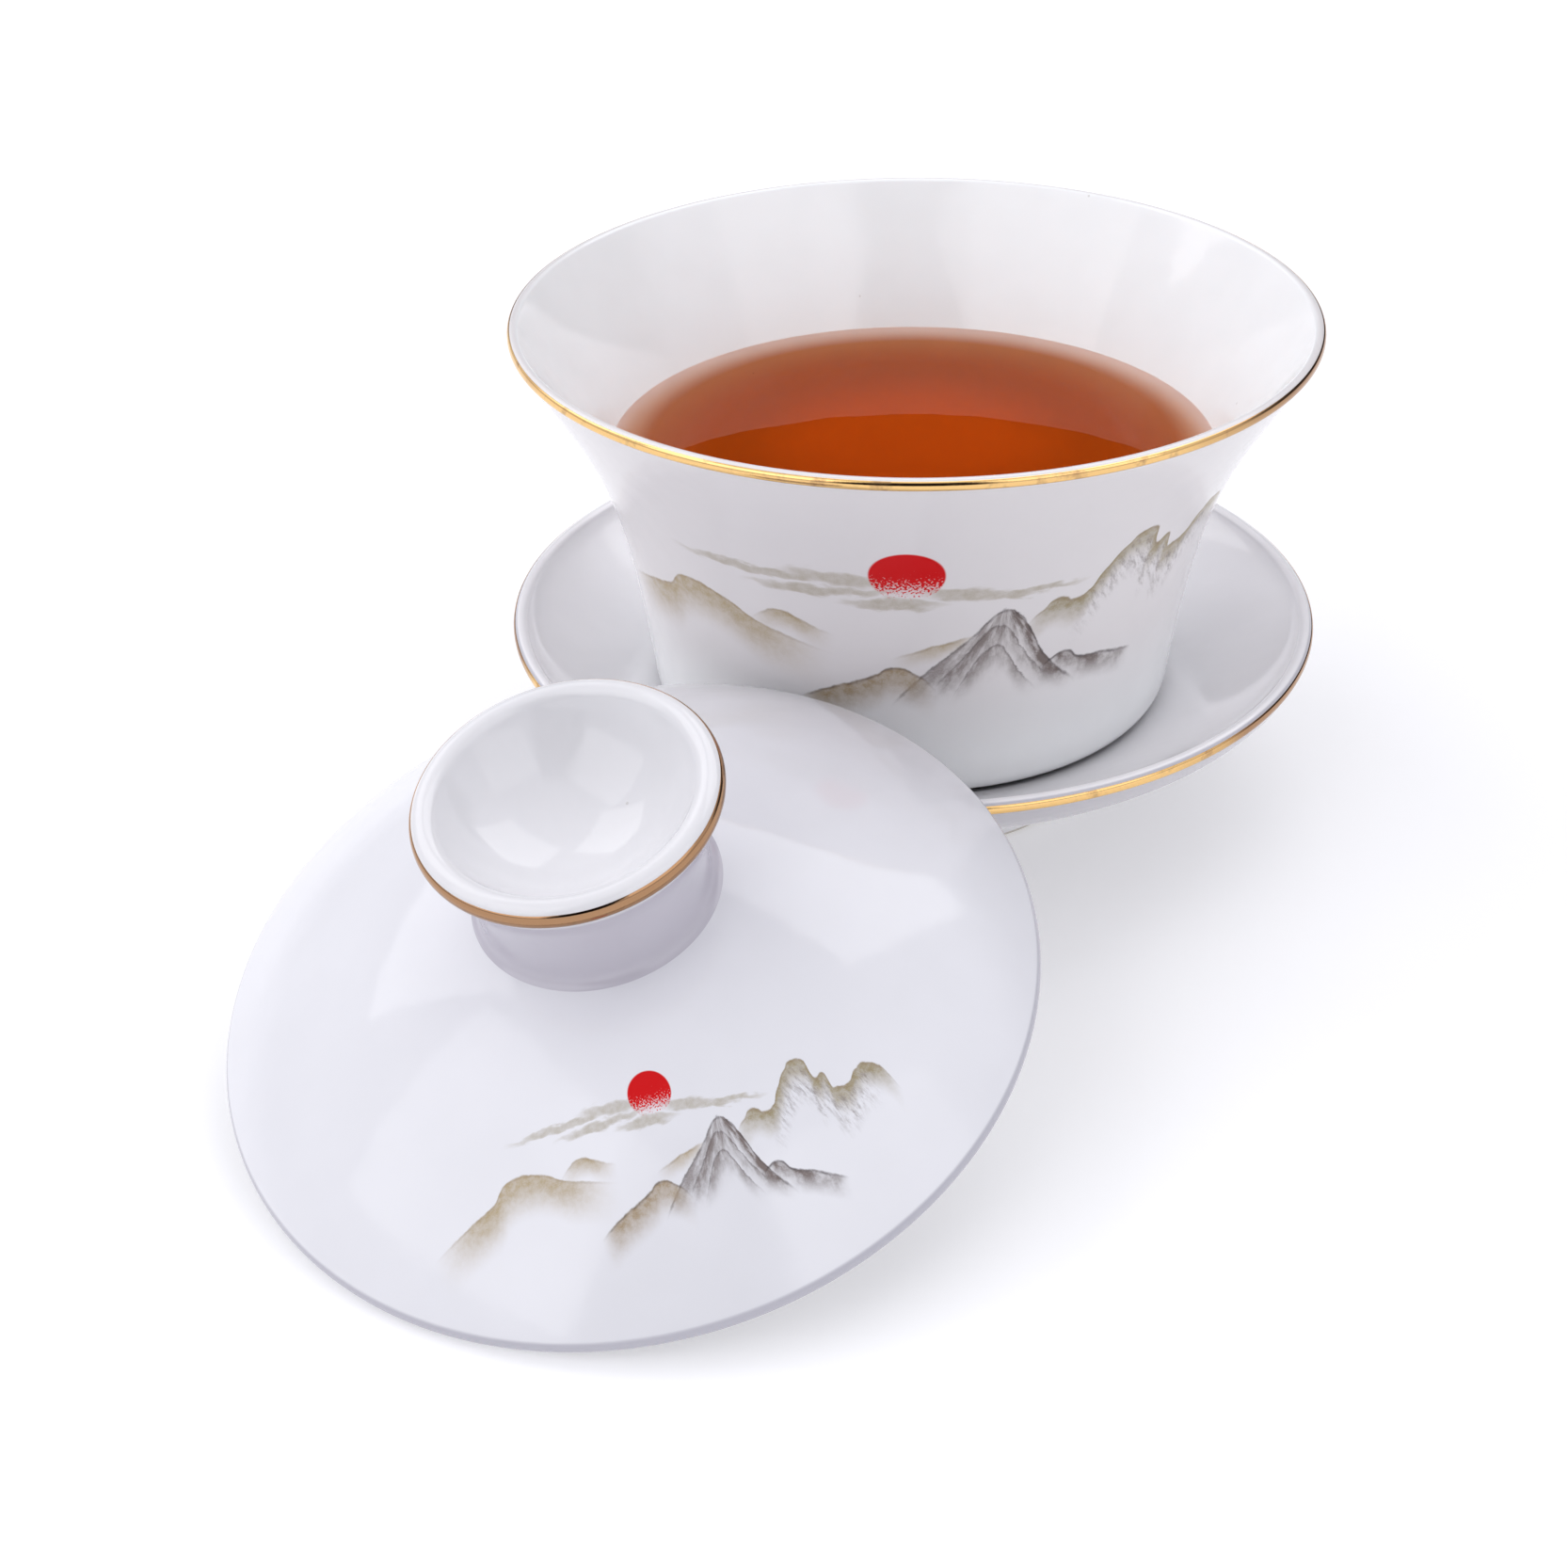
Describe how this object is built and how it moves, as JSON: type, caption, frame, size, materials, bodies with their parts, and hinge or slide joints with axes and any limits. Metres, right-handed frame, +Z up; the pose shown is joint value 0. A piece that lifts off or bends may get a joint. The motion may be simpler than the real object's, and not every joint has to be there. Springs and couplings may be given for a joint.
{
  "type": "gaiwan",
  "caption": "Lidded porcelain tea bowl standing in its saucer with tea in it; the domed lid with a flared hollow knob is off and leans on the saucer's rim.",
  "frame": {"origin": "centre of the saucer's foot ring on the table, on the bowl's axis", "axes": "+Z up along the bowl's axis; the lid lies on the -Y side, a little towards -X; the printed sun on the bowl faces -Y"},
  "size_m": [0.1273, 0.1697, 0.0637],
  "materials": {
    "porcelain": "clear gloss glaze, unglazed foot",
    "bowl_porcelain": "clear gloss glaze over a printed sun and hills, unglazed foot",
    "lid_porcelain": "clear gloss glaze over a printed sun and hills",
    "gilt": "bright fired gold",
    "tea": "clear amber liquid"
  },
  "bodies": {
    "saucer": {"saucer": "porcelain", "saucer_gilt_band": "gilt"},
    "bowl": {"bowl": "bowl_porcelain", "bowl_gilt_band": "gilt", "tea": "tea"},
    "lid": {"lid": "lid_porcelain", "lid_knob": "porcelain", "knob_gilt_band": "gilt"}
  },
  "joints": [
    {"name": "bowl_lift", "type": "slide", "parent": "saucer", "child": "bowl", "axis": [0, 0, 1], "range_m": [0, 0.1]},
    {"name": "lid_lift", "type": "slide", "parent": "saucer", "child": "lid", "axis": [-0.1781, -0.4344, 0.8829], "range_m": [0, 0.11]}
  ]
}
